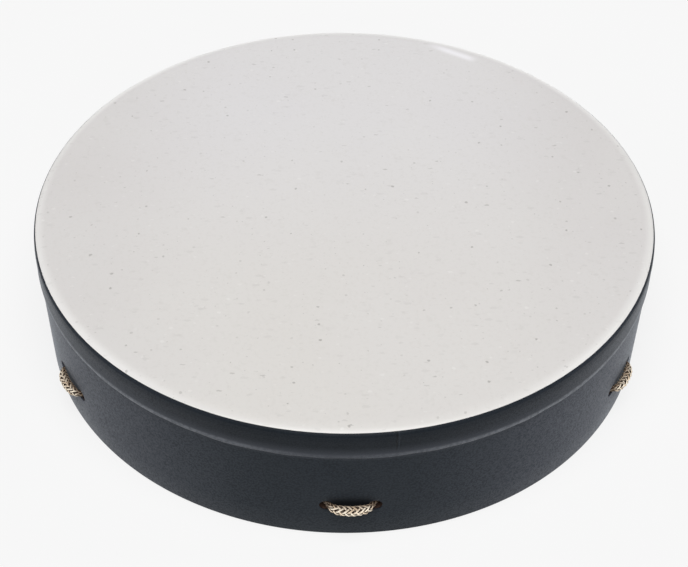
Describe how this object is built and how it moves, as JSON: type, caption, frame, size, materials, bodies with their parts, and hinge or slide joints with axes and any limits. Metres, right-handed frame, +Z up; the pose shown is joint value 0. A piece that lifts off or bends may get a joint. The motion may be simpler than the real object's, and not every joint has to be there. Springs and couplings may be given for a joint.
{
  "type": "buffalo drum",
  "caption": "Round frame drum with an open back: dark covered hoop, pale speckled head, and braided rope laced through the wall to a gathered hand grip.",
  "frame": {"origin": "centre of the hoop's open edge, on the surface that the drum lies on", "axes": "+Z up along the drum's axis towards the head, -Y towards the front rope bight"},
  "size_m": [0.4072, 0.4188, 0.0922],
  "materials": {
    "hoop_fibre": "raw pressed fibre, dark brown",
    "grained_vinyl": "charcoal vinyl with a fine leather grain",
    "collar_trim": "matte black trim strip",
    "head_film": "off-white head with fine dark speckles",
    "braided_rope": "tan braided rope",
    "whipping_twine": "waxed twine"
  },
  "bodies": {
    "hoop": {"collar_band": "collar_trim", "drumhead": "head_film", "outer_bight_1": "braided_rope", "outer_bight_2": "braided_rope", "outer_bight_3": "braided_rope", "outer_bight_4": "braided_rope", "outer_bight_5": "braided_rope", "outer_bight_6": "braided_rope", "shell": "hoop_fibre", "shell_cover": "grained_vinyl"},
    "grip": {"gather_ring": "braided_rope", "inner_bight_1": "braided_rope", "inner_bight_2": "braided_rope", "inner_bight_3": "braided_rope", "inner_bight_4": "braided_rope", "inner_bight_5": "braided_rope", "inner_bight_6": "braided_rope", "ring_whipping": "whipping_twine"},
    "strand_1_left": {"strand_1_left": "braided_rope"},
    "strand_1_right": {"strand_1_right": "braided_rope"},
    "strand_2_left": {"strand_2_left": "braided_rope"},
    "strand_2_right": {"strand_2_right": "braided_rope"},
    "strand_3_left": {"strand_3_left": "braided_rope"},
    "strand_3_right": {"strand_3_right": "braided_rope"},
    "strand_4_left": {"strand_4_left": "braided_rope", "lacing_whipping": "whipping_twine"},
    "strand_4_right": {"strand_4_right": "braided_rope"},
    "strand_5_left": {"strand_5_left": "braided_rope"},
    "strand_5_right": {"strand_5_right": "braided_rope"},
    "strand_6_left": {"strand_6_left": "braided_rope"},
    "strand_6_right": {"strand_6_right": "braided_rope"}
  },
  "joints": [
    {"name": "grip_lift", "type": "slide", "parent": "hoop", "child": "grip", "axis": [0, 0, 1], "range_m": [0, 0.016]},
    {"name": "strand_1_left_swing", "type": "hinge", "parent": "grip", "child": "strand_1_left", "pos_m": [-0.01465, -0.04138, 0.026], "axis": [1, 0, 0], "range_deg": [0, 5.92]},
    {"name": "strand_1_right_swing", "type": "hinge", "parent": "grip", "child": "strand_1_right", "pos_m": [0.01465, -0.04138, 0.0124], "axis": [1, 0, 0], "range_deg": [0, 5.92]},
    {"name": "strand_2_left_swing", "type": "hinge", "parent": "grip", "child": "strand_2_left", "pos_m": [0.02851, -0.03338, 0.026], "axis": [0.5, 0.866, 0], "range_deg": [0, 5.92]},
    {"name": "strand_2_right_swing", "type": "hinge", "parent": "grip", "child": "strand_2_right", "pos_m": [0.04316, -0.008, 0.0124], "axis": [0.5, 0.866, 0], "range_deg": [0, 5.92]},
    {"name": "strand_3_left_swing", "type": "hinge", "parent": "grip", "child": "strand_3_left", "pos_m": [0.04316, 0.008, 0.026], "axis": [-0.5, 0.866, 0], "range_deg": [0, 5.92]},
    {"name": "strand_3_right_swing", "type": "hinge", "parent": "grip", "child": "strand_3_right", "pos_m": [0.02851, 0.03338, 0.0124], "axis": [-0.5, 0.866, 0], "range_deg": [0, 5.92]},
    {"name": "strand_4_left_swing", "type": "hinge", "parent": "grip", "child": "strand_4_left", "pos_m": [0.01465, 0.04138, 0.026], "axis": [-1, 0, 0], "range_deg": [0, 5.92]},
    {"name": "strand_4_right_swing", "type": "hinge", "parent": "grip", "child": "strand_4_right", "pos_m": [-0.01465, 0.04138, 0.0124], "axis": [-1, 0, 0], "range_deg": [0, 5.92]},
    {"name": "strand_5_left_swing", "type": "hinge", "parent": "grip", "child": "strand_5_left", "pos_m": [-0.02851, 0.03338, 0.026], "axis": [-0.5, -0.866, 0], "range_deg": [0, 5.92]},
    {"name": "strand_5_right_swing", "type": "hinge", "parent": "grip", "child": "strand_5_right", "pos_m": [-0.04316, 0.008, 0.0124], "axis": [-0.5, -0.866, 0], "range_deg": [0, 5.92]},
    {"name": "strand_6_left_swing", "type": "hinge", "parent": "grip", "child": "strand_6_left", "pos_m": [-0.04316, -0.008, 0.026], "axis": [0.5, -0.866, 0], "range_deg": [0, 5.92]},
    {"name": "strand_6_right_swing", "type": "hinge", "parent": "grip", "child": "strand_6_right", "pos_m": [-0.02851, -0.03338, 0.0124], "axis": [0.5, -0.866, 0], "range_deg": [0, 5.92]}
  ],
  "couplings": [
    {"joint": "strand_1_left_swing", "follows": "grip_lift", "rad_per_m": 6.4402},
    {"joint": "strand_1_right_swing", "follows": "grip_lift", "rad_per_m": 6.4402},
    {"joint": "strand_2_left_swing", "follows": "grip_lift", "rad_per_m": 6.4402},
    {"joint": "strand_2_right_swing", "follows": "grip_lift", "rad_per_m": 6.4402},
    {"joint": "strand_3_left_swing", "follows": "grip_lift", "rad_per_m": 6.4402},
    {"joint": "strand_3_right_swing", "follows": "grip_lift", "rad_per_m": 6.4402},
    {"joint": "strand_4_left_swing", "follows": "grip_lift", "rad_per_m": 6.4402},
    {"joint": "strand_4_right_swing", "follows": "grip_lift", "rad_per_m": 6.4402},
    {"joint": "strand_5_left_swing", "follows": "grip_lift", "rad_per_m": 6.4402},
    {"joint": "strand_5_right_swing", "follows": "grip_lift", "rad_per_m": 6.4402},
    {"joint": "strand_6_left_swing", "follows": "grip_lift", "rad_per_m": 6.4402},
    {"joint": "strand_6_right_swing", "follows": "grip_lift", "rad_per_m": 6.4402}
  ]
}
